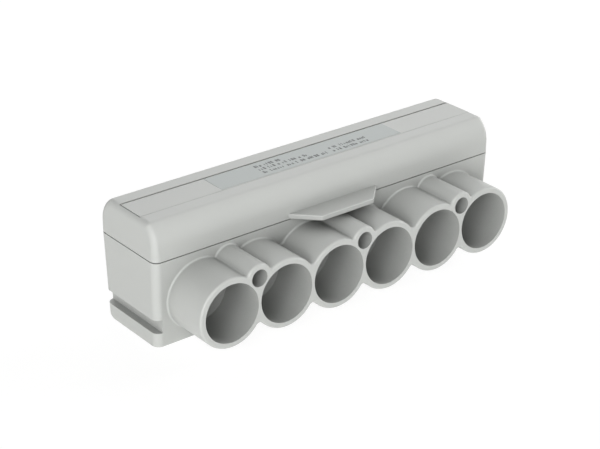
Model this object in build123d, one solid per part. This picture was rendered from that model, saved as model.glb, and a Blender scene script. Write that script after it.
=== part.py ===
from build123d import *
import os
from math import acos, atan2, cos, hypot, radians, sin, tan

# Power distribution block: six insulated cable entries on one clamp bar, under a hinged cover.
# Millimetres. X runs along the row of entries, -Y is the side the cables enter, +Z is up.
# The origin is the middle of the housing's footprint, on the surface that it stands on.

# Row of cable entries
ways = 6
pitch = 19.0
row_offset = -0.55
entry_radius = 9.05
entry_wall = 1.75
entry_length = 15.3
shoulder_depth = 15.6
throat_radius = 5.6
valley_radius = 1.4
row_web = 1.5
rim_round = 0.7
root_fillet = 0.5

# Probe sockets, one in the valley between the two ways of each pair
probe_radius = 2.65
probe_wall = 1.65
probe_rise = 7.9
probe_valley_radius = 0.6
ways_per_probe = 2

# Housing
end_overhang = 6.05
box_depth = 27.8
entry_ground_clearance = 2.7
entry_to_seam = 2.75
seam_gap = 0.3
wall = 2.2
inner_corner = 0.8
corner_radius = 2.3
end_draft = 0.6
side_draft = 2.3
back_foot_radius = 4.5

# End grooves for fixing brackets
groove_depth = 2.45
groove_height = 4.2
foot_height = 4.45

# Cored underside
core_wall = 2.0
core_rib = 1.6
core_back_wall = 5.6
floor_thickness = 2.2

# Clamp bar
conductor_radius = 5.2
bar_floor = 2.7
bar_end = 8.7
bar_fit = 0.3
bar_chamfer = 0.4
bar_below_lip = 0.5
mouth_chamfer = 0.5

# Clamp screws, two on each conductor
clamp_radius = 4.0
clamp_length = 10.0
clamp_spacing = 10.5
clamp_tip_gap = 0.3
clamp_chamfer = 0.6
hex_across_flats = 4.0
hex_depth = 4.5
thread_clearance = 0.05

# Screws that hold the bar down from below
holddown_radius = 2.0
holddown_reach = 9.0
holddown_seat = 2.0
holddown_head_radius = 3.6
holddown_head_height = 2.2
holddown_head_clearance = 0.4
holddown_boss_wall = 1.6
holddown_drive_across = 2.5
holddown_drive_depth = 1.3

# Cover
cover_height = 11.1
cover_wall = 2.0
cover_draft = 1.7
cover_foot = 4.0
crown_half = 9.75
crown_centre = -0.3
crown_round = 1.9
hollow_round = 4.1
lip_depth = 1.5
lip_thickness = 1.2
lip_fit = 0.3
bead_radius = 0.22
bead_clearance = 0.2
bead_length = 12.0
stiffener = 1.4
stiffener_depth = 1.6

# Lift tab
tab_root_half = 16.6
tab_tip_half = 9.55
tab_reach = 7.05
tab_thickness = 1.6
tab_corner = 1.2
tab_edge = 0.3

# Marker strip and its label
strip_recess_width = 10.5
strip_recess_depth = 1.0
strip_inset = 1.0
strip_end_gap = 0.2
strip_front_gap = 0.12
strip_back_gap = 0.35
label_half = 33.6
label_thickness = 0.12
label_margin = 0.1

# Cover hinge
hinge_out = 1.0
knuckle_radius = 1.75
knuckle_width = 4.0
knuckle_gap = 0.25
knuckle_relief = 0.3
knuckle_root = 4.5
pin_radius = 0.8
pin_clearance = 0.05
pin_grip_clearance = 0.02
pin_recess = 0.3

# Sizes that follow
length = ways * pitch + 2 * end_overhang
entry_outer = entry_radius + entry_wall
probe_outer = probe_radius + probe_wall
axis_height = entry_ground_clearance + entry_outer
seam_height = axis_height + entry_outer + entry_to_seam
housing_top = seam_height - seam_gap / 2
cover_bottom = seam_height + seam_gap / 2
front_face = -box_depth / 2
back_face = box_depth / 2
mouth_plane = front_face - entry_length
shoulder_plane = mouth_plane + shoulder_depth
way_x = [row_offset + (i - (ways - 1) / 2) * pitch for i in range(ways)]
valley_x = [row_offset + (i - ways / 2) * pitch for i in range(1, ways)]
probe_x = valley_x[::ways_per_probe]
probe_height = axis_height + probe_rise
outer_valley_x = [valley_x[0], valley_x[-1]]
holddown_well_radius = holddown_head_radius + holddown_head_clearance

bar_bottom = axis_height - conductor_radius - bar_floor
bar_top = seam_height - lip_depth - bar_below_lip
bar_depth = box_depth - 2 * wall - 2 * bar_fit
bar_length = (ways - 1) * pitch + 2 * bar_end
clamp_tip = axis_height + conductor_radius + clamp_tip_gap
clamp_y = [-clamp_spacing / 2, clamp_spacing / 2]

cover_top = seam_height + cover_height
cover_shell = cover_height - seam_gap / 2
strip_floor = cover_top - strip_recess_depth
hinge_y = back_face + hinge_out
knuckle_pitch = knuckle_width + knuckle_gap


def plan(half_x, half_y, radius, z):
    """Rounded rectangle seen from above, at height z."""
    return Plane.XY.offset(z) * RectangleRounded(2 * half_x, 2 * half_y, radius)


def along_y(x, z, radius, y_from, y_to):
    """Round bar along Y."""
    start = Plane(origin=(x, y_from, z), x_dir=(1, 0, 0), z_dir=(0, 1, 0))
    return extrude(start * Circle(radius), amount=y_to - y_from)


def along_x(y, z, radius, x_from, x_to):
    """Round bar along X."""
    start = Plane(origin=(x_from, y, z), x_dir=(0, 1, 0), z_dir=(1, 0, 0))
    return extrude(start * Circle(radius), amount=x_to - x_from)


def along_z(x, y, radius, z_from, z_to):
    """Round bar along Z."""
    return Pos(x, y, z_from) * extrude(Circle(radius), amount=z_to - z_from)


def block(x_from, x_to, y_from, y_to, z_from, z_to):
    """Plain block between two corners."""
    size = Box(x_to - x_from, y_to - y_from, z_to - z_from, align=(Align.MIN, Align.MIN, Align.MIN))
    return Pos(x_from, y_from, z_from) * size


def tapered_block(half_x, half_y, z_from, z_to, lean_x, lean_y):
    """Block with leaning sides: half sizes are at z_from, and the leans are run per rise."""
    rise = z_to - z_from
    across = Plane(origin=(-2 * half_x, 0, 0), x_dir=(0, 1, 0), z_dir=(1, 0, 0))
    along = Plane(origin=(0, 2 * half_y, 0), x_dir=(1, 0, 0), z_dir=(0, -1, 0))
    far_y = half_y - rise * lean_y
    far_x = half_x - rise * lean_x
    side = Polygon((-half_y, z_from), (half_y, z_from), (far_y, z_to), (-far_y, z_to), align=None)
    front = Polygon((-half_x, z_from), (half_x, z_from), (far_x, z_to), (-far_x, z_to), align=None)
    return extrude(across * side, amount=4 * half_x) & extrude(along * front, amount=4 * half_y)


def upright_edges(shape):
    """The four corner edges of a tapered block."""
    return [e for e in shape.edges() if abs(e.tangent_at(0.5).Z) > 0.9]


def drafted_box():
    """Outer form of the housing: it narrows towards the base as the mould needs."""
    lean_x = tan(radians(end_draft))
    lean_y = tan(radians(side_draft))
    base_x = length / 2 - housing_top * lean_x
    base_y = box_depth / 2 - housing_top * lean_y
    box = tapered_block(base_x, base_y, 0, housing_top, -lean_x, -lean_y)
    box = fillet(upright_edges(box), corner_radius)
    return box - back_foot_cut(base_y)


def back_foot_cut(base_half):
    """What the mould leaves off below the back wall, so that the lower back edge is round."""
    lean = radians(side_draft)
    r = back_foot_radius
    centre = base_half + r * tan(lean) - r / cos(lean)
    section = Plane(origin=(-length, 0, 0), x_dir=(0, 1, 0), z_dir=(1, 0, 0))
    corner = Polygon((centre, r), (centre, -1), (base_half + 1, -1),
                     (centre + (r + 1) * cos(lean), r - (r + 1) * sin(lean)), align=None)
    return extrude(section * (corner - Pos(centre, r) * Circle(r)), amount=2 * length)


def entry_row_outline():
    """Outline of the entry tubes and probe tubes, merged, with rounded valleys between them.
    A web joins each tube to the next, and a foot each probe tube to the web under it."""
    face = Plane(origin=(0, mouth_plane, 0), x_dir=(1, 0, 0), z_dir=(0, -1, 0))
    tubes = [Pos(x, axis_height) * Circle(entry_outer) for x in way_x]
    probes = [Pos(x, probe_height) * Circle(probe_outer) for x in probe_x]
    webs = [Pos(x, axis_height) * Rectangle(pitch, row_web) for x in valley_x]
    feet = [Pos(x, axis_height + probe_rise / 2) * Rectangle(2 * probe_wall, probe_rise) for x in probe_x]
    outline = Sketch() + tubes + probes + webs + feet
    outline = fillet([v for v in outline.vertices() if not is_beside_probe(v)], valley_radius)
    outline = fillet([v for v in outline.vertices() if is_beside_probe(v)], probe_valley_radius)
    return face * outline


def is_beside_probe(vertex):
    """True for a corner of the row's outline that lies on a probe tube's circle."""
    reach = [hypot(vertex.X - x, vertex.Y - probe_height) for x in probe_x]
    return min(abs(r - probe_outer) for r in reach) < 0.001


def entry_row():
    """The six entry tubes and three probe tubes as one solid moulding, still without bores."""
    row = extrude(entry_row_outline(), amount=-(entry_length + wall / 2))
    rim = row.faces().sort_by(Axis.Y)[0]
    return fillet(rim.edges(), rim_round)


def bores():
    """Hollow of each way: the insulated entry, and the narrower throat into the housing."""
    cut = []
    inner_front = front_face + wall + 1
    for x in way_x:
        cut.append(along_y(x, axis_height, entry_radius, mouth_plane - 1, shoulder_plane))
        cut.append(along_y(x, axis_height, throat_radius, shoulder_plane - 1, inner_front))
    for x in probe_x:
        cut.append(along_y(x, probe_height, probe_radius, mouth_plane - 1, inner_front))
    return cut


def cavity():
    """Inside of the housing: a pocket that fits the bar, wider above the end grooves."""
    half_y = box_depth / 2 - wall
    pocket = Pos(row_offset, 0) * plan(bar_length / 2 + bar_fit, half_y, inner_corner, bar_bottom)
    step = foot_height + groove_height + wall
    upper = plan(length / 2 - wall, half_y, inner_corner, step)
    return [extrude(pocket, amount=seam_height - bar_bottom), extrude(upper, amount=seam_height - step)]


def underside_cores():
    """Shallow pockets under the floor, one below each way, that keep the walls even."""
    depth = bar_bottom - floor_thickness
    half_y = box_depth / 2
    front = -half_y + seam_height * tan(radians(side_draft)) + core_wall
    back = half_y - core_back_wall
    ends = length / 2 - groove_depth - core_wall
    edges = [-ends - core_rib / 2] + valley_x + [ends + core_rib / 2]
    boss_radius = holddown_well_radius + holddown_boss_wall
    bosses = [along_z(x, 0, boss_radius, 0, bar_bottom) for x in outer_valley_x]
    return [block(left + core_rib / 2, right - core_rib / 2, front, back, 0, depth) - bosses
            for left, right in zip(edges[:-1], edges[1:])]


def knuckle(x_from, x_to, hang):
    """Hinge knuckle whose web runs tangent to the wall: hang is -1 below the seam, +1 above it."""
    face = Plane(origin=(x_from, 0, 0), x_dir=(0, 1, 0), z_dir=(1, 0, 0))
    inside = back_face - wall / 2
    lean = knuckle_root * tan(radians(side_draft if hang < 0 else cover_draft))
    out, rise = back_face - lean - hinge_y, hang * knuckle_root
    touch = atan2(rise, out) - hang * acos(knuckle_radius / hypot(out, rise))
    points = [(inside, seam_height + hang * seam_gap / 2), (hinge_y, seam_height),
              (hinge_y + knuckle_radius * cos(touch), seam_height + knuckle_radius * sin(touch)),
              (hinge_y + out, seam_height + rise), (inside, seam_height + rise)]
    web = Polygon(*points[::hang], align=None)
    barrel = Pos(hinge_y, seam_height) * Circle(knuckle_radius)
    return extrude(face * (web + barrel), amount=x_to - x_from)


def hinge_stations():
    """Left edge of the first knuckle of each hinge: housing, cover, housing, side by side."""
    reach = (3 * knuckle_width + 2 * knuckle_gap) / 2
    return [x - reach for x in outer_valley_x]


def make_housing():
    body = drafted_box() + entry_row()
    front = [e for e in body.edges() if is_entry_root(e)]
    body = fillet(front, root_fillet)
    for side in (-1, 1):
        inner, outer = sorted((side * (length / 2 - groove_depth), side * (length / 2 + 1)))
        body -= block(inner, outer, -box_depth, box_depth, foot_height, foot_height + groove_height)
    body -= underside_cores()
    body -= cavity()
    body -= bores()
    seat = bar_bottom - holddown_seat
    for x in outer_valley_x:
        body -= along_z(x, 0, holddown_well_radius, -1, seat)
        body -= along_z(x, 0, holddown_radius + thread_clearance, seat - 1, bar_bottom + 1)
    for x in probe_x:
        body -= snap_bead(x, bead_radius + bead_clearance, front_face + wall)
    for x in hinge_stations():
        body -= along_x(hinge_y, seam_height, knuckle_radius + knuckle_relief,
                        x + knuckle_width, x + 2 * knuckle_pitch)
        for k in (0, 2):
            left = x + k * knuckle_pitch
            body += knuckle(left, left + knuckle_width, -1)
        body -= along_x(hinge_y, seam_height, pin_radius + pin_grip_clearance,
                        x - 1, x + 3 * knuckle_pitch + 1)
    return body


def is_entry_root(edge):
    """True for the edges where the entry row meets the housing's drafted front face."""
    box = edge.bounding_box()
    lean = seam_height * tan(radians(side_draft))
    in_face = box.min.Y > front_face - 0.01 and box.max.Y < front_face + lean + 0.01
    tall = entry_outer + probe_rise
    inside = box.min.Z > 0.5 and box.max.Z < housing_top - 0.5 and box.max.Z - box.min.Z < 2 * tall
    span = way_x[-1] + entry_outer + 0.5
    return in_face and inside and box.min.X > -span and box.max.X < span


def snap_bead(x, radius, wall_y):
    """Half-round bead along X, centred on the given wall plane, that the cover snaps over."""
    height = seam_height - lip_depth / 2
    return along_x(wall_y, height, radius, x - bead_length / 2, x + bead_length / 2)


def corner_waste(arc, half_x, half_y):
    """Area outside one rounded corner: from its arc out to a square corner 1 mm beyond the half sizes."""
    on_side, on_end = sorted((arc @ 0, arc @ 1), key=lambda point: abs(point.X))
    far_x = (half_x + 1) * (1 if on_end.X > 0 else -1)
    far_y = (half_y + 1) * (1 if on_side.Y > 0 else -1)
    square = Polyline(on_end, (far_x, on_end.Y, on_end.Z), (far_x, far_y, on_end.Z),
                      (on_side.X, far_y, on_side.Z), on_side)
    return make_face([arc] + square.edges())


def crown_section(half_y, knee):
    """Section of the cover above its knee: each side curves in from the wall to the flat top."""
    lean = tan(radians(cover_draft))
    front = TangentArc((-half_y, knee), (crown_centre - crown_half, cover_top), tangent=(lean, 1))
    back = TangentArc((half_y, knee), (crown_centre + crown_half, cover_top), tangent=(-lean, 1))
    roof = Line(front @ 1, back @ 1)
    floor = Line(back @ 0, front @ 0)
    return make_face([front, roof, back, floor])


def cover_outer():
    """Outer form of the cover: a skirt whose corners tighten upwards, and the rounded crown on it."""
    lean = tan(radians(cover_draft))
    knee = cover_bottom + cover_foot
    half_x, half_y = length / 2, box_depth / 2
    narrow = cover_foot * lean
    across = Plane(origin=(-length, 0, 0), x_dir=(0, 1, 0), z_dir=(1, 0, 0))
    crown = extrude(across * crown_section(half_y - narrow, knee), amount=2 * length)
    crown &= tapered_block(half_x - narrow, 2 * box_depth, knee, cover_top, lean, 0)
    rims = [e for e in crown.edges() if e.bounding_box().max.Z > knee + 0.01]
    crown = fillet(rims, crown_round)
    skirt = tapered_block(half_x, half_y, cover_bottom, knee, lean, lean)
    low_arcs = plan(half_x, half_y, corner_radius, cover_bottom).edges().filter_by(GeomType.CIRCLE)
    high_arcs = crown.faces().sort_by(Axis.Z)[0].edges().filter_by(GeomType.LINE, reverse=True)
    for low in low_arcs:
        high = high_arcs.sort_by_distance(low.center())[0]
        skirt -= loft([corner_waste(low, half_x, half_y), corner_waste(high, half_x, half_y)], ruled=True)
    return skirt + crown


def cover_hollow():
    """Inside of the cover, with its own rounded roof edges."""
    half_x = length / 2 - cover_wall - cover_height * tan(radians(cover_draft))
    half_y = box_depth / 2 - cover_wall
    roof = cover_top - cover_wall
    hollow = extrude(plan(half_x, half_y, inner_corner, cover_bottom - lip_depth - 1),
                     amount=roof - cover_bottom + lip_depth + 1)
    roof_edges = hollow.edges().filter_by(Axis.X).group_by(Axis.Z)[-1]
    return fillet(roof_edges, hollow_round)


def lift_tab():
    """Trapezoid finger tab that stands out from the front of the cover."""
    root_y = front_face + cover_wall / 2
    tip_y = front_face - tab_reach
    slope = (tab_root_half - tab_tip_half) / tab_reach
    inside = tab_root_half + slope * cover_wall / 2
    outline = Polygon((-inside, root_y), (-tab_tip_half, tip_y), (tab_tip_half, tip_y), (inside, root_y),
                      align=None)
    tab = extrude(Plane.XY.offset(cover_bottom) * outline, amount=tab_thickness)
    corners = tab.edges().filter_by(Axis.Z).group_by(Axis.Y)[0]
    tab = fillet(corners, tab_corner)
    level = [e.bounding_box() for e in tab.edges()]
    rims = [e for e, box in zip(tab.edges(), level) if box.min.Y < root_y - 0.01 and box.size.Z < 0.01]
    return fillet(rims, tab_edge)


def make_cover():
    lip_x = length / 2 - wall - lip_fit
    lip_y = box_depth / 2 - wall - lip_fit
    lip = extrude(plan(lip_x, lip_y, inner_corner, cover_bottom - lip_depth), amount=lip_depth + 1)
    body = cover_outer() + lip + lift_tab()
    inner_x = lip_x - lip_thickness
    inner_y = lip_y - lip_thickness
    body -= extrude(plan(inner_x, inner_y, inner_corner, cover_bottom - lip_depth - 1), amount=lip_depth + 3)
    body -= cover_hollow_above_lip()
    roof = cover_top - cover_wall
    for x in valley_x:
        body += block(x - stiffener / 2, x + stiffener / 2, -inner_y, inner_y,
                      roof - stiffener_depth, roof + 0.5)
    lip_front = block(-length, length, -lip_y - 1, -lip_y + 0.5, 0, cover_top)
    for x in probe_x:
        body += snap_bead(x, bead_radius, -lip_y) & lip_front
    recess_x = length / 2 - cover_shell * tan(radians(cover_draft)) - strip_inset
    recess_front, recess_back = crown_centre - strip_recess_width / 2, crown_centre + strip_recess_width / 2
    body -= block(-recess_x, recess_x, recess_front, recess_back, strip_floor, cover_top + 1)
    for x in hinge_stations():
        for k in (0, 2):
            left = x + k * knuckle_pitch
            body -= along_x(hinge_y, seam_height, knuckle_radius + knuckle_relief,
                            left - knuckle_gap, left + knuckle_width + knuckle_gap)
        middle = x + knuckle_pitch
        body += knuckle(middle, middle + knuckle_width, 1)
        body -= along_x(hinge_y, seam_height, pin_radius + pin_clearance,
                        middle - 1, middle + knuckle_width + 1)
    return body


def cover_hollow_above_lip():
    """The cover's hollow from just above the lip, so that the lip keeps its own wall."""
    keep = block(-length, length, -box_depth, box_depth, cover_bottom + 1, cover_top)
    return cover_hollow() & keep


def make_terminal_bar():
    """Extruded bar, drilled across for the conductors and tapped from above for the screws."""
    bar = block(row_offset - bar_length / 2, row_offset + bar_length / 2, -bar_depth / 2, bar_depth / 2,
                bar_bottom, bar_top)
    bar = chamfer(bar.edges().filter_by(Axis.X), bar_chamfer)
    for x in way_x:
        bar -= along_y(x, axis_height, conductor_radius, -bar_depth, bar_depth)
        mouth = Plane(origin=(x, -bar_depth / 2, axis_height), x_dir=(1, 0, 0), z_dir=(0, 1, 0))
        bar -= loft([mouth * Circle(conductor_radius + mouth_chamfer),
                     mouth.offset(mouth_chamfer) * Circle(conductor_radius)], ruled=True)
        for y in clamp_y:
            bar -= along_z(x, y, clamp_radius + thread_clearance, axis_height, bar_top + 1)
    for x in outer_valley_x:
        bar -= along_z(x, 0, holddown_radius + thread_clearance, bar_bottom - 1,
                       bar_bottom - holddown_seat + holddown_reach + 1)
    return bar


def make_clamp_screw(x, y):
    """Socket set screw, backed out until its tip clears the conductor's hole."""
    screw = along_z(x, y, clamp_radius, clamp_tip, clamp_tip + clamp_length)
    screw = chamfer(screw.edges().filter_by(GeomType.CIRCLE), clamp_chamfer)
    top = clamp_tip + clamp_length
    socket = Pos(x, y, top - hex_depth) * RegularPolygon(hex_across_flats / 2, 6, major_radius=False)
    return screw - extrude(socket, amount=hex_depth + 1)


def make_holddown_screw(x):
    """Pan-head screw that holds the bar down through the housing's floor."""
    seat = bar_bottom - holddown_seat
    low = seat - holddown_head_height
    head = along_z(x, 0, holddown_head_radius, low, seat)
    head = fillet(head.edges().group_by(Axis.Z)[0], holddown_head_height / 3)
    shank = along_z(x, 0, holddown_radius, seat, seat + holddown_reach)
    shank = chamfer(shank.edges().group_by(Axis.Z)[-1], holddown_radius / 4)
    drive = Pos(x, 0, low - 1) * RegularPolygon(holddown_drive_across / 2, 6, major_radius=False)
    return head + shank - extrude(drive, amount=holddown_drive_depth + 1)


def make_marker_strip():
    """Flat strip that fills the recess along the top of the cover."""
    half_x = length / 2 - cover_shell * tan(radians(cover_draft)) - strip_inset - strip_end_gap
    front = crown_centre - strip_recess_width / 2 + strip_front_gap
    back = crown_centre + strip_recess_width / 2 - strip_back_gap
    return block(-half_x, half_x, front, back, strip_floor, cover_top)


def make_rating_label():
    """Thin adhesive label on the middle of the marker strip."""
    front = crown_centre - strip_recess_width / 2 + strip_front_gap + label_margin
    back = crown_centre + strip_recess_width / 2 - strip_back_gap - label_margin
    label = block(-label_half, label_half, front, back, cover_top, cover_top + label_thickness)
    return fillet(label.edges().filter_by(Axis.Z), 2 * label_margin)


def make_hinge_pin(x):
    """Steel pin through the three knuckles of one hinge."""
    start = x + pin_recess
    end = x + 3 * knuckle_width + 2 * knuckle_gap - pin_recess
    return along_x(hinge_y, seam_height, pin_radius, start, end)


def model():
    parts = {"housing": make_housing(), "cover": make_cover(), "terminal_bar": make_terminal_bar(),
             "marker_strip": make_marker_strip(), "rating_label": make_rating_label()}
    for i, x in enumerate(way_x, 1):
        for row, y in zip(("front", "rear"), clamp_y):
            parts[f"clamp_screw_{i}_{row}"] = make_clamp_screw(x, y)
    for side, x in zip(("left", "right"), outer_valley_x):
        parts[f"bar_screw_{side}"] = make_holddown_screw(x)
    for side, x in zip(("left", "right"), hinge_stations()):
        parts[f"hinge_pin_{side}"] = make_hinge_pin(x)
    return parts


os.makedirs("parts", exist_ok=True)
for node, shape in model().items():
    export_step(shape, f"parts/{node}.step")
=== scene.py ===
"""Looks of a six-way power distribution block. Metres, in the part's own frame.
X runs along the row of cable entries, -Y is the side the cables enter, +Z is up."""

from math import pi, radians

import bpy
import numpy as np
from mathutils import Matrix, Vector


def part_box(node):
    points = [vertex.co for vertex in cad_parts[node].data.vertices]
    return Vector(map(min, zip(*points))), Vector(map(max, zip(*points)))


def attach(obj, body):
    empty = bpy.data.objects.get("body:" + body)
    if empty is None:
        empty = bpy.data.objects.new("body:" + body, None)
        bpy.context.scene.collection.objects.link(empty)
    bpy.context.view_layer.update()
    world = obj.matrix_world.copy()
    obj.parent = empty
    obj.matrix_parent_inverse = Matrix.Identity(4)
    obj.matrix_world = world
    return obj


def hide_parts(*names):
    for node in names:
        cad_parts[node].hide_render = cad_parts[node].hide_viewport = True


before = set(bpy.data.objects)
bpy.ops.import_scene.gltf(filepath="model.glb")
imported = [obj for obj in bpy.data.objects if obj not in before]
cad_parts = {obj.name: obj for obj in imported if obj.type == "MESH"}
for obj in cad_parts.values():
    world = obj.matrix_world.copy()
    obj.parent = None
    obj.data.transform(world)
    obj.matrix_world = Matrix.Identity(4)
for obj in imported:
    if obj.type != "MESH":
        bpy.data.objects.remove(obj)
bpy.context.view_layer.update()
MM = 0.001

# Viewpoint. The block is seen from its cable side, from the left and from above, through a
# long lens. Place, direction and focal length fit the straight edges and tube mouths.
eye = Vector((-0.28435, -0.3612, 0.2399))
look_right_of_y = 38.055
look_down = 26.058
focal_length_px = 1688.3
picture_width_px = 600

camera_data = bpy.data.cameras.new("camera")
camera_data.sensor_fit = "HORIZONTAL"
camera_data.sensor_width = 36
camera_data.lens = camera_data.sensor_width * focal_length_px / picture_width_px
camera_data.clip_start = 0.01
camera = bpy.data.objects.new("camera", camera_data)
camera.location = eye
camera.rotation_euler = (radians(90 - look_down), 0, radians(-look_right_of_y))
bpy.context.scene.collection.objects.link(camera)
bpy.context.scene.camera = camera
bpy.context.scene.view_settings.view_transform = "Standard"


# Studio. White paper on a light table. The strongest lamp is at the viewer's left, one lights
# the right, one behind lights the top, and a weak one below shines through the paper. Seen
# directly, paper and room are plain white, and the paper keeps a little of the block's shadow.
white = (1, 1, 1, 1)
paper_white = "f2f2f0"
paper_half = 4.0
paper_drop_mm = 0.02
paper_shadow = 0.16
paper_glow = 1.09
room_light = 0.1
lamp_aim = (0, 0, 0.02)
lamp_width = 0.8
lamps = {
    "lamp_left_front": {"at": (-0.75, -0.75, 0.4), "watts": 11.6},
    "lamp_behind": {"at": (0.55, 0.7, 0.6), "watts": 3.5},
    "lamp_right": {"at": (1.0, -0.1, 0.4), "watts": 7.4},
    "lamp_below_left": {"at": (-0.7, -0.5, -0.4), "watts": 2.8},
}


def linear(hex_colour):
    """sRGB hex value as linear red, green, blue and an alpha of 1."""
    channels = [int(hex_colour[i:i + 2], 16) / 255 for i in (0, 2, 4)]
    return [c / 12.92 if c <= 0.04045 else ((c + 0.055) / 1.055) ** 2.4 for c in channels] + [1]


def node(tree, kind, inputs=(), **settings):
    """Adds a node: settings are its own properties, inputs are (socket, value or link) pairs."""
    new = tree.nodes.new(kind)
    for name, value in settings.items():
        setattr(new, name, value)
    for socket, value in inputs:
        if isinstance(value, bpy.types.NodeSocket):
            tree.links.new(value, new.inputs[socket])
        else:
            new.inputs[socket].default_value = value
    return new


def seen_directly(tree):
    """1 for a ray from the camera, a mirror or clear glass, and 0 for a ray that only lights."""
    path = node(tree, "ShaderNodeLightPath").outputs
    mirrored = node(tree, "ShaderNodeMath", [(0, path["Is Camera Ray"]), (1, path["Is Glossy Ray"])],
                    operation="MAXIMUM")
    return node(tree, "ShaderNodeMath", [(0, mirrored.outputs[0]), (1, path["Is Transmission Ray"])],
                operation="MAXIMUM").outputs[0]


paper = bpy.data.materials.new("matt_white_paper")
paper.use_nodes = True
tree = paper.node_tree
tree.nodes.clear()
matt = node(tree, "ShaderNodeBsdfDiffuse", [("Color", linear(paper_white))])
glow = node(tree, "ShaderNodeEmission", [("Color", white), ("Strength", paper_glow)])
share = node(tree, "ShaderNodeMath", [(0, seen_directly(tree)), (1, 1 - paper_shadow)], operation="MULTIPLY")
both = node(tree, "ShaderNodeMixShader", [(0, share.outputs[0]), (1, matt.outputs[0]), (2, glow.outputs[0])])
node(tree, "ShaderNodeOutputMaterial", [("Surface", both.outputs[0])])

sheet_corners = [(x * paper_half, y * paper_half, -paper_drop_mm * MM)
                 for x, y in ((-1, -1), (1, -1), (1, 1), (-1, 1))]
sheet = bpy.data.meshes.new("paper_sweep")
sheet.from_pydata(sheet_corners, [], [(0, 1, 2, 3)])
sheet.materials.append(paper)
floor = bpy.data.objects.new("paper_sweep", sheet)
floor.visible_shadow = False
bpy.context.scene.collection.objects.link(floor)

room = bpy.data.worlds.new("white_room")
room.use_nodes = True
bpy.context.scene.world = room
tree = room.node_tree
tree.nodes.clear()
level = node(tree, "ShaderNodeMapRange", [("Value", seen_directly(tree)), ("To Min", room_light),
                                          ("To Max", 1.0)])
sky = node(tree, "ShaderNodeBackground", [("Color", white), ("Strength", level.outputs[0])])
node(tree, "ShaderNodeOutputWorld", [("Surface", sky.outputs[0])])

for lamp_name, setting in lamps.items():
    lamp_data = bpy.data.lights.new(lamp_name, "AREA")
    lamp_data.shape = "SQUARE"
    lamp_data.size = lamp_width
    lamp_data.energy = setting["watts"]
    lamp = bpy.data.objects.new(lamp_name, lamp_data)
    lamp.location = setting["at"]
    lamp.rotation_euler = (Vector(lamp_aim) - Vector(setting["at"])).to_track_quat("-Z", "Y").to_euler()
    bpy.context.scene.collection.objects.link(lamp)


# Housing and cover. Injection-moulded flame-retardant polyamide in a light grey, with the even
# matt grain of a spark-eroded mould, drawn coarser than it is so that it shows, and a faint
# cloudiness. Painted shade: ambient occlusion darkens the colour in hollows and where other
# parts are close, so that the entries look deep.
moulded_grey = "c2c4c1"
moulded_ior = 1.53
moulded_roughness = 0.5
grain_mm = 0.35
grain_depth_mm = 0.012
grain_detail = 2.0
cloud_mm = 14.0
cloud_share = 0.012
cloud_detail = 3.0
painted_shade_reach_mm = 20.0
painted_shade_rays = 8
painted_shade_open = 0.95
painted_shade_closed = 0.1
painted_shade_darkest = 0.45


def finish(name, colour, roughness, metallic=0.0, ior=1.5):
    """New material with a Principled shader. Returns the material, its tree and the shader."""
    material = bpy.data.materials.new(name)
    material.use_nodes = True
    material.node_tree.nodes.clear()
    shader = node(material.node_tree, "ShaderNodeBsdfPrincipled",
                  [("Base Color", linear(colour)), ("Roughness", roughness),
                   ("Metallic", metallic), ("IOR", ior)])
    node(material.node_tree, "ShaderNodeOutputMaterial", [("Surface", shader.outputs[0])])
    return material, material.node_tree, shader


def tinted(tree, colour, factor, share):
    """Colour that varies by a share up and down as factor goes from 0 to 1."""
    low, high = ([c * (1 + side * share) for c in linear(colour)[:3]] + [1] for side in (-1, 1))
    return node(tree, "ShaderNodeMix", [("Factor", factor), (6, low), (7, high)], data_type="RGBA").outputs[2]


def dress(material, *parts):
    """Gives the solids of these names the material in place of their own."""
    for part in parts:
        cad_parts[part].data.materials.clear()
        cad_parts[part].data.materials.append(material)


moulded, tree, shader = finish("moulded_polyamide", moulded_grey, moulded_roughness, ior=moulded_ior)
place = node(tree, "ShaderNodeTexCoord").outputs["Object"]
cloud = node(tree, "ShaderNodeTexNoise", [("Vector", place), ("Scale", 1 / (cloud_mm * MM)),
                                          ("Detail", cloud_detail)])
grain = node(tree, "ShaderNodeTexNoise", [("Vector", place), ("Scale", 1 / (grain_mm * MM)),
                                          ("Detail", grain_detail)])
relief = node(tree, "ShaderNodeBump", [("Height", grain.outputs["Fac"]), ("Strength", 1.0),
                                       ("Distance", grain_depth_mm * MM)])
tint = tinted(tree, moulded_grey, cloud.outputs["Fac"], cloud_share)
# Painted shade: ambient occlusion darkens the base colour in hollows, down to the darkest share.
painted_shade_occlusion = node(tree, "ShaderNodeAmbientOcclusion", [("Distance", painted_shade_reach_mm * MM)], samples=painted_shade_rays)
painted_shade_factor = node(tree, "ShaderNodeMapRange", [("Value", painted_shade_occlusion.outputs["AO"]), ("From Min", painted_shade_closed),
                                          ("From Max", painted_shade_open), ("To Min", painted_shade_darkest)])
colour_with_painted_shade = node(tree, "ShaderNodeMix", [("Factor", 1.0), (6, tint), (7, painted_shade_factor.outputs[0])],
              data_type="RGBA", blend_type="MULTIPLY")
tree.links.new(colour_with_painted_shade.outputs[2], shader.inputs["Base Color"])
tree.links.new(relief.outputs[0], shader.inputs["Normal"])
dress(moulded, "housing", "cover")


# Marker strip. The same polyamide, extruded flat and pushed into the cover's recess. Its upper
# long edges are rounded, the back one more, so the gap behind it draws a dark line.
strip_back_round_mm = 0.4
strip_front_round_mm = 0.3
round_steps = 6


def surface(name, points, faces, material, body, sharp=35):
    """New piece from points in metres and its faces, shaded smooth up to the sharp angle in degrees."""
    mesh = bpy.data.meshes.new(name)
    mesh.from_pydata(points.tolist(), [], [list(face) for face in faces])
    mesh.shade_smooth()
    mesh.set_sharp_from_angle(angle=radians(sharp))
    mesh.materials.append(material)
    piece = bpy.data.objects.new(name, mesh)
    bpy.context.scene.collection.objects.link(piece)
    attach(piece, body)
    return piece


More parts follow.
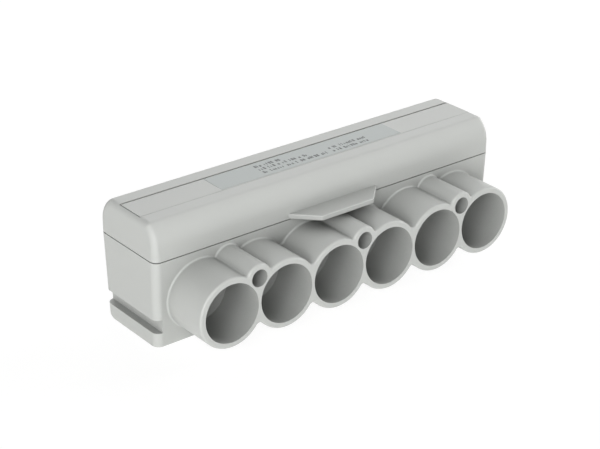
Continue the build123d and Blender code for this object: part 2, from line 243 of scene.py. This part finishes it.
def quarter_round(middle_y, middle_z, radius, start):
    """Points (y, z) of a quarter circle: the middle plus the radius times the cosine and sine of
    an angle that turns on by 90 degrees from the start."""
    turn = radians(start) + np.linspace(0, pi / 2, round_steps + 1)
    return np.stack([middle_y + radius * np.cos(turn), middle_z + radius * np.sin(turn)], axis=1)


def extruded(profile, x_from, x_to):
    """Closed bar along X: the profile at both ends, quads between them and a face on each end.
    The profile's points (y, z) run anticlockwise as seen from +X."""
    count = len(profile)
    points = np.concatenate([np.insert(profile, 0, x, axis=1) for x in (x_from, x_to)])
    near = np.arange(count)
    ahead = (near + 1) % count
    sides = np.stack([near, ahead, count + ahead, count + near], axis=1).tolist()
    return points, sides + [count + near, near[::-1]]


low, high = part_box("marker_strip")
back_round, front_round = strip_back_round_mm * MM, strip_front_round_mm * MM
profile = np.concatenate([
    [(low.y, low.z), (high.y, low.z)],
    quarter_round(high.y - back_round, high.z - back_round, back_round, 0),
    quarter_round(low.y + front_round, high.z - front_round, front_round, 90),
])
points, faces = extruded(profile, low.x, high.x)
strip = surface("extruded_strip", points, faces, moulded, "cover")
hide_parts("marker_strip")


# Rating label. A thin polyester film with a satin face, stuck on the flat middle of the strip.
# The print is generic: rows of small upright and level strokes, as ratings look from a step away.
film_grey = "9ca3a1"
film_roughness = 0.42
film_ior = 1.6
film_mm = 0.05
film_sunk_mm = 0.01
ink_grey = "1d2021"
ink_roughness = 0.5
ink_rise_mm = 0.012
stroke_mm = 0.24
letter_width_mm = 0.62
letter_height_mm = 1.4
letter_pitch_mm = 0.86
small_letter_share = 0.7
level_shares = (0, 0.5, 1)
level_chance = 0.5
right_chance = 0.6
print_seed = 7
print_rows = (
    {"x_mm": -17.2, "y_mm": 1.75, "words": (3, 4, 2)},
    {"x_mm": -17.2, "y_mm": -0.45, "words": (3, 3, 1, 2, 3, 1, 2)},
    {"x_mm": -17.2, "y_mm": -2.75, "words": (2, 6, 3, 1, 2, 5, 3)},
    {"x_mm": 8.6, "y_mm": -0.6, "words": (1, 2, 7, 4)},
    {"x_mm": 8.6, "y_mm": -2.95, "words": (1, 2, 6, 4)},
)

film = finish("satin_polyester_film", film_grey, film_roughness, ior=film_ior)[0]
ink = finish("printing_ink", ink_grey, ink_roughness)[0]


def slabs(low, high):
    """Closed blocks between arrays of low and high corners. Each of a block's eight points picks
    the low or the high value on each axis, and six faces join them."""
    ends = np.stack([low, high], axis=1)
    picks = np.array([(0, 0, 0), (1, 0, 0), (1, 1, 0), (0, 1, 0), (0, 0, 1), (1, 0, 1), (1, 1, 1), (0, 1, 1)])
    points = np.stack([ends[:, picks[:, axis], axis] for axis in range(3)], axis=2).reshape(-1, 3)
    sides = np.array([(3, 2, 1, 0), (4, 5, 6, 7), (0, 1, 5, 4), (1, 2, 6, 5), (2, 3, 7, 6), (3, 0, 4, 7)])
    faces = (sides[None] + 8 * np.arange(len(low))[:, None, None]).reshape(-1, 4)
    return points, faces


def letter(x, y, draw):
    """Strokes of one made-up letter as (x from, x to, y from, y to): uprights joined by level bars."""
    height = letter_height_mm * draw.choice([small_letter_share, 1.0])
    left = (x, x + stroke_mm, y, y + height)
    right = (x + letter_width_mm - stroke_mm, x + letter_width_mm, y, y + height)
    levels = [y + share * (height - stroke_mm) for share in level_shares if draw.random() < level_chance]
    bars = [(left[1], right[0], level, level + stroke_mm) for level in levels]
    return [left] + [right] * (draw.random() < right_chance) + bars


low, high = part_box("rating_label")
film_top = low.z + film_mm * MM
film_low = (low.x, low.y + front_round, low.z - film_sunk_mm * MM)
film_high = (high.x, high.y - back_round, film_top)
points, faces = slabs(np.array([film_low]), np.array([film_high]))
film_sheet = surface("label_film_sheet", points, faces, film, "cover")
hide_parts("rating_label")

draw = np.random.default_rng(print_seed)
strokes = []
for row in print_rows:
    x = row["x_mm"]
    for count in row["words"]:
        for k in range(count):
            strokes += letter(x + k * letter_pitch_mm, row["y_mm"] - letter_height_mm / 2, draw)
        x += (count + 1) * letter_pitch_mm
strokes = np.array(strokes) * MM
rise = np.full(len(strokes), ink_rise_mm * MM)
lows = np.stack([strokes[:, 0], strokes[:, 2], film_top - rise], axis=1)
highs = np.stack([strokes[:, 1], strokes[:, 3], film_top + rise], axis=1)
points, faces = slabs(lows, highs)
surface("label_print", points, faces, ink, "cover")


# Terminal bar. Extruded aluminium, cut to length, drilled and tapped, then tin-plated: a pale,
# slightly grey metal with faint extrusion lines along its length, drawn coarser than they are.
tin_grey = "b4b7b7"
tin_roughness = 0.42
tin_roughness_spread = 0.08
line_mm = 0.25
line_stretch = 60.0
line_depth_mm = 0.006
line_detail = 2.0

tin, tree, shader = finish("tin_plated_aluminium", tin_grey, tin_roughness, metallic=1.0)
place = node(tree, "ShaderNodeTexCoord").outputs["Object"]
along = node(tree, "ShaderNodeMapping", [("Vector", place), ("Scale", (1 / line_stretch, 1, 1))])
lines = node(tree, "ShaderNodeTexNoise", [("Vector", along.outputs[0]), ("Scale", 1 / (line_mm * MM)),
                                          ("Detail", line_detail)])
relief = node(tree, "ShaderNodeBump", [("Height", lines.outputs["Fac"]), ("Strength", 1.0),
                                       ("Distance", line_depth_mm * MM)])
rough = node(tree, "ShaderNodeMapRange", [("Value", lines.outputs["Fac"]),
                                          ("To Min", tin_roughness - tin_roughness_spread),
                                          ("To Max", tin_roughness + tin_roughness_spread)])
tree.links.new(relief.outputs[0], shader.inputs["Normal"])
tree.links.new(rough.outputs[0], shader.inputs["Roughness"])
dress(tin, "terminal_bar")


# Screws. The clamp screws are socket set screws of steel with a rolled thread, a flat point and
# a broached hexagon socket, two over each conductor. They and the two screws that hold the bar
# are zinc-plated, which gives the eye a bright grey with slightly duller patches.
zinc_grey = "a2a5a3"
zinc_dullness = (0.25, 0.42)
patch_mm = 1.5
patch_detail = 4.0
thread_pitch_mm = 1.25
thread_share = 0.61
thread_flat = 0.125
steps_per_turn = 48
rows_per_pitch = 8
bevel_mm = 0.6
socket_across_mm = 4.0
socket_depth_mm = 4.5
socket_mouth_mm = 0.25
drill_cone_mm = 0.5
drill_point_mm = 0.8

zinc, tree, shader = finish("zinc_plated_steel", zinc_grey, zinc_dullness[0], metallic=1.0)
place = node(tree, "ShaderNodeTexCoord").outputs["Object"]
patches = node(tree, "ShaderNodeTexNoise", [("Vector", place), ("Scale", 1 / (patch_mm * MM)),
                                            ("Detail", patch_detail)])
rough = node(tree, "ShaderNodeMapRange", [("Value", patches.outputs["Fac"]),
                                          ("To Min", zinc_dullness[0]), ("To Max", zinc_dullness[1])])
tree.links.new(rough.outputs[0], shader.inputs["Roughness"])


def rings_to_faces(rings, steps):
    """Quads between neighbouring rings of points, closed round, with a fan at each pole."""
    row = np.arange(rings - 1)[:, None] * steps
    step = np.arange(steps)[None, :]
    ahead = (step + 1) % steps
    quads = np.stack([row + step, row + ahead, row + steps + ahead, row + steps + step], axis=2)
    pole = np.full(steps, rings * steps)
    top_row = (rings - 1) * steps
    bottom = np.stack([pole, ahead[0], step[0]], axis=1)
    top = np.stack([pole + 1, top_row + step[0], top_row + ahead[0]], axis=1)
    return [*quads.reshape(-1, 4), *bottom, *top]


def set_screw(length, radius):
    """Points of a socket set screw standing on its point at the origin.
    The side's radius is the crest less a triangle wave in height less angle, held inside the end
    bevels. The socket's radius is half its width over the cosine of the angle from a flat's middle."""
    angle = np.arange(steps_per_turn) * 2 * pi / steps_per_turn
    depth = thread_share * thread_pitch_mm * MM
    rows = int(length / (thread_pitch_mm * MM) * rows_per_pitch) + 1
    height = np.linspace(0, length, rows)
    phase = height[:, None] / (thread_pitch_mm * MM) - angle[None, :] / (2 * pi)
    wave = np.abs(2 * (phase - np.floor(phase)) - 1)
    groove = np.clip((1 + 2 * thread_flat) * wave - thread_flat, 0, 1)
    side = radius - depth * groove
    cone = radius - bevel_mm * MM + np.minimum(height, length - height)
    side = np.minimum(side, cone[:, None])
    flat = (angle + pi / 6) % (pi / 3) - pi / 6
    hexagon = socket_across_mm * MM / 2 / np.cos(flat)
    mouth = np.full_like(angle, hexagon.max() + socket_mouth_mm * MM)
    floor_height = length - socket_depth_mm * MM
    cone_height = floor_height - drill_cone_mm * MM
    radii = np.array([np.full_like(angle, radius / 2), *side, mouth, hexagon, hexagon, hexagon / 3])
    heights = np.array([0, *height, length, length - socket_mouth_mm * MM, floor_height, cone_height])
    grid = np.stack([radii * np.cos(angle), radii * np.sin(angle),
                     np.repeat(heights[:, None], steps_per_turn, axis=1)], axis=2)
    poles = np.array([(0, 0, 0), (0, 0, floor_height - drill_point_mm * MM)])
    return np.concatenate([grid.reshape(-1, 3), poles]), rings_to_faces(len(radii), steps_per_turn)


for cad_name in sorted(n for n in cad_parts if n.startswith("clamp_screw_")):
    low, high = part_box(cad_name)
    points, faces = set_screw(high.z - low.z, (high.x - low.x) / 2)
    points = points + np.array([(low.x + high.x) / 2, (low.y + high.y) / 2, low.z])
    name = cad_name.replace("clamp", "threaded")
    screw = surface(name, points, faces, zinc, cad_name, sharp=25)
    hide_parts(cad_name)

dress(zinc, "bar_screw_left", "bar_screw_right")


# Hinge pins. Two short lengths of drawn stainless steel wire, pressed into the housing's
# knuckles. The drawing die leaves them smooth, so they shine more than the screws.
wire_grey = "c2c2c0"
wire_roughness = 0.25

wire = finish("drawn_stainless_wire", wire_grey, wire_roughness, metallic=1.0)[0]
dress(wire, "hinge_pin_left", "hinge_pin_right")
